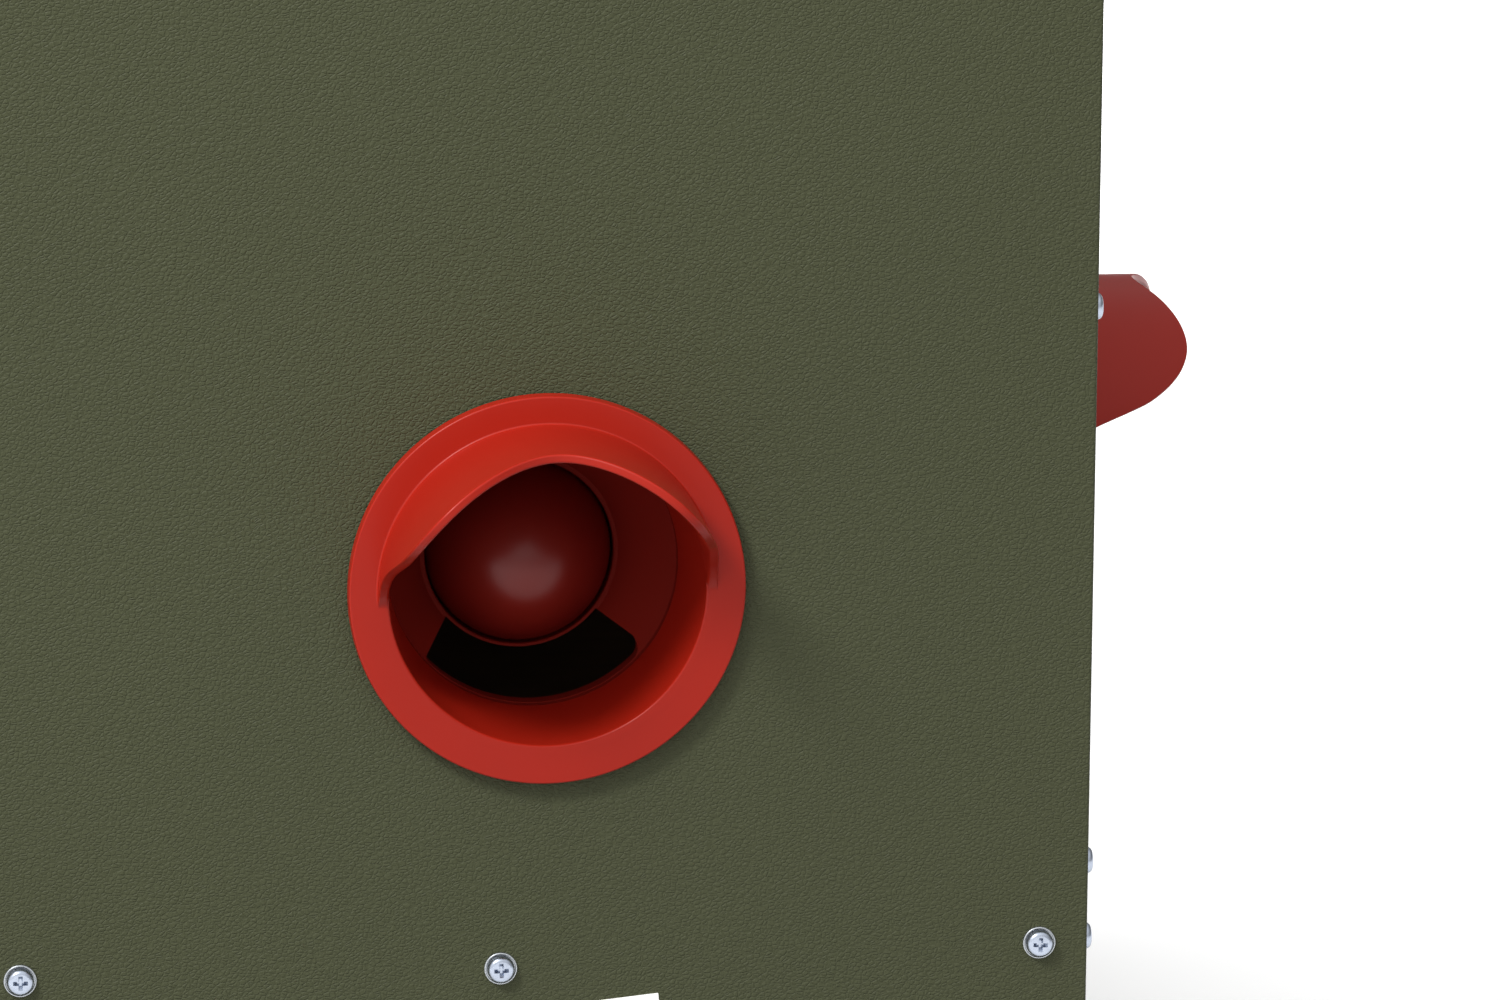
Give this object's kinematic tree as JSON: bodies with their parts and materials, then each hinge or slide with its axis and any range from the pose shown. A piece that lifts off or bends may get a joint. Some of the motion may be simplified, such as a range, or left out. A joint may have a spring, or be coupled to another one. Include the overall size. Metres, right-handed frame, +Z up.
{
  "type": "poultry feeder box",
  "caption": "Sheet box poultry feeder with hooded round feed ports on three sides, a sloping feed ramp inside, and a hinged lid held by a barrel bolt.",
  "frame": {"origin": "on the ground, under the centre of the overall box with hoods and hinges", "axes": "+Z up, -Y towards the front with its two ports, +X to the right as seen from the front"},
  "size_m": [0.714, 0.425, 0.5863],
  "materials": {
    "olive_sheet": "fine leather grain, satin",
    "post_plastic": "matt moulded",
    "ramp_board": "sealed board",
    "rubber": "matt",
    "red_hood": "satin moulded",
    "red_bowl": "satin moulded",
    "red_ring": "satin moulded",
    "white_label": "printed film, blank",
    "black_handle": "matt coated rod",
    "zinc_screw": "bright zinc",
    "zinc_plate": "bright zinc"
  },
  "bodies": {
    "box": {"front_panel": "olive_sheet", "back_panel": "olive_sheet", "left_panel": "olive_sheet", "right_panel": "olive_sheet", "floor_board": "olive_sheet", "post_front_left": "post_plastic", "post_front_right": "post_plastic", "post_back_left": "post_plastic", "post_back_right": "post_plastic", "top_rail_front": "post_plastic", "top_rail_back": "post_plastic", "side_rail_left": "post_plastic", "side_rail_right": "post_plastic", "feed_ramp": "ramp_board", "ramp_supports": "post_plastic", "feet": "rubber", "front_left_hood": "red_hood", "front_left_bowl": "red_bowl", "front_left_lock_ring": "red_ring", "front_left_gasket": "rubber", "front_right_hood": "red_hood", "front_right_bowl": "red_bowl", "front_right_lock_ring": "red_ring", "front_right_gasket": "rubber", "left_side_hood": "red_hood", "left_side_bowl": "red_bowl", "left_side_lock_ring": "red_ring", "left_side_gasket": "rubber", "right_side_hood": "red_hood", "right_side_bowl": "red_bowl", "right_side_lock_ring": "red_ring", "right_side_gasket": "rubber", "front_screws": "zinc_screw", "front_washers": "zinc_plate", "back_screws": "zinc_screw", "back_washers": "zinc_plate", "left_screws": "zinc_screw", "left_washers": "zinc_plate", "right_screws": "zinc_screw", "right_washers": "zinc_plate", "blank_label": "white_label", "hinge_blocks": "post_plastic", "body_leaf_left": "zinc_plate", "hinge_pin_left": "zinc_screw", "body_leaf_right": "zinc_plate", "hinge_pin_right": "zinc_screw", "hinge_screws_body": "zinc_screw", "bolt_guide": "zinc_plate", "bolt_screws": "zinc_screw"},
    "lid": {"lid": "olive_sheet", "lid_seal": "rubber", "lid_handle": "black_handle", "handle_screws": "zinc_screw", "lid_leaf_left": "zinc_plate", "lid_leaf_right": "zinc_plate", "hinge_screws_lid": "zinc_screw", "bolt_keeper": "zinc_plate", "keeper_screws": "zinc_screw"},
    "bolt": {"bolt_rod": "zinc_screw"}
  },
  "joints": [
    {"name": "lid_hinge", "type": "hinge", "parent": "box", "child": "lid", "pos_m": [0, 0.209, 0.5473], "axis": [-1, 0, 0], "range_deg": [0, 100]},
    {"name": "bolt_slide", "type": "slide", "parent": "box", "child": "bolt", "axis": [1, 0, 0], "range_m": [0, 0.016]}
  ]
}
